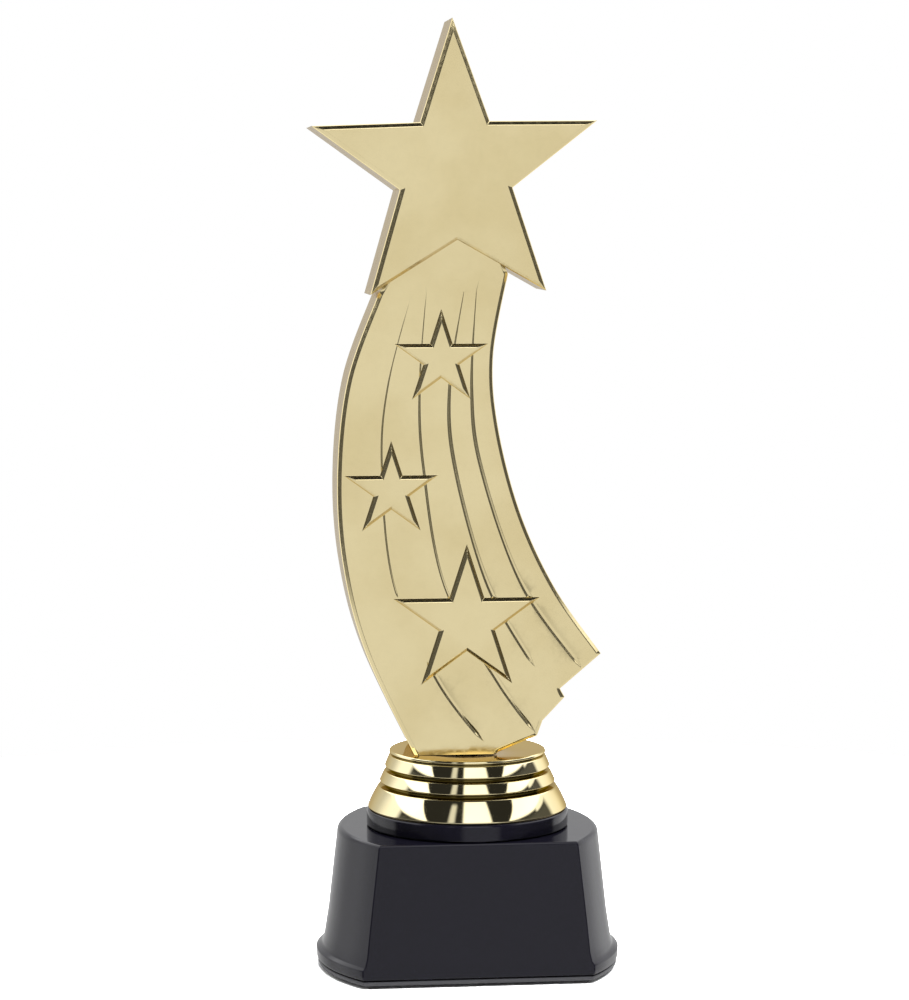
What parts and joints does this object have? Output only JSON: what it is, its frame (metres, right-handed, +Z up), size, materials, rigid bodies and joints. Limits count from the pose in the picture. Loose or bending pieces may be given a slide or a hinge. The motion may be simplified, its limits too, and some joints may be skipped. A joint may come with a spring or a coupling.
{
  "type": "star trophy",
  "caption": "Free-standing shooting-star award: bevelled gold star on a curved ribbed tail with relief stars, on a stepped gold collar and a glossy black base with bulging sides.",
  "frame": {"origin": "centre of the felt pad's underside, on the clamp rod's axis, at table height", "axes": "+Z up along the clamp rod; -Y is the front that carries the figure's face; +X is to the right seen from the front"},
  "size_m": [0.0794, 0.0544, 0.2423],
  "materials": {
    "figure_gold": "vacuum-metallised bright gold over moulded plastic",
    "collar_gold": "vacuum-metallised mirror gold over moulded plastic",
    "base_black": "glossy moulded black",
    "plate_black": "fine satin moulded black",
    "zinc_steel": "bright zinc plate",
    "cast_iron": "rough as cast",
    "felt": "pressed felt"
  },
  "bodies": {
    "root": {"figure_front_shell": "figure_gold", "figure_back_shell": "figure_gold", "riser_collar": "collar_gold", "seat_ring": "base_black", "base_shell": "base_black", "bottom_plate": "plate_black", "figure_nut": "zinc_steel", "threaded_rod": "zinc_steel", "clamp_washer": "zinc_steel", "spring_washer": "zinc_steel", "clamp_nut": "zinc_steel", "plate_screw_1": "zinc_steel", "plate_screw_2": "zinc_steel", "plate_screw_3": "zinc_steel", "plate_screw_4": "zinc_steel", "ballast_ring": "cast_iron", "felt_pad": "felt"}
  },
  "joints": []
}
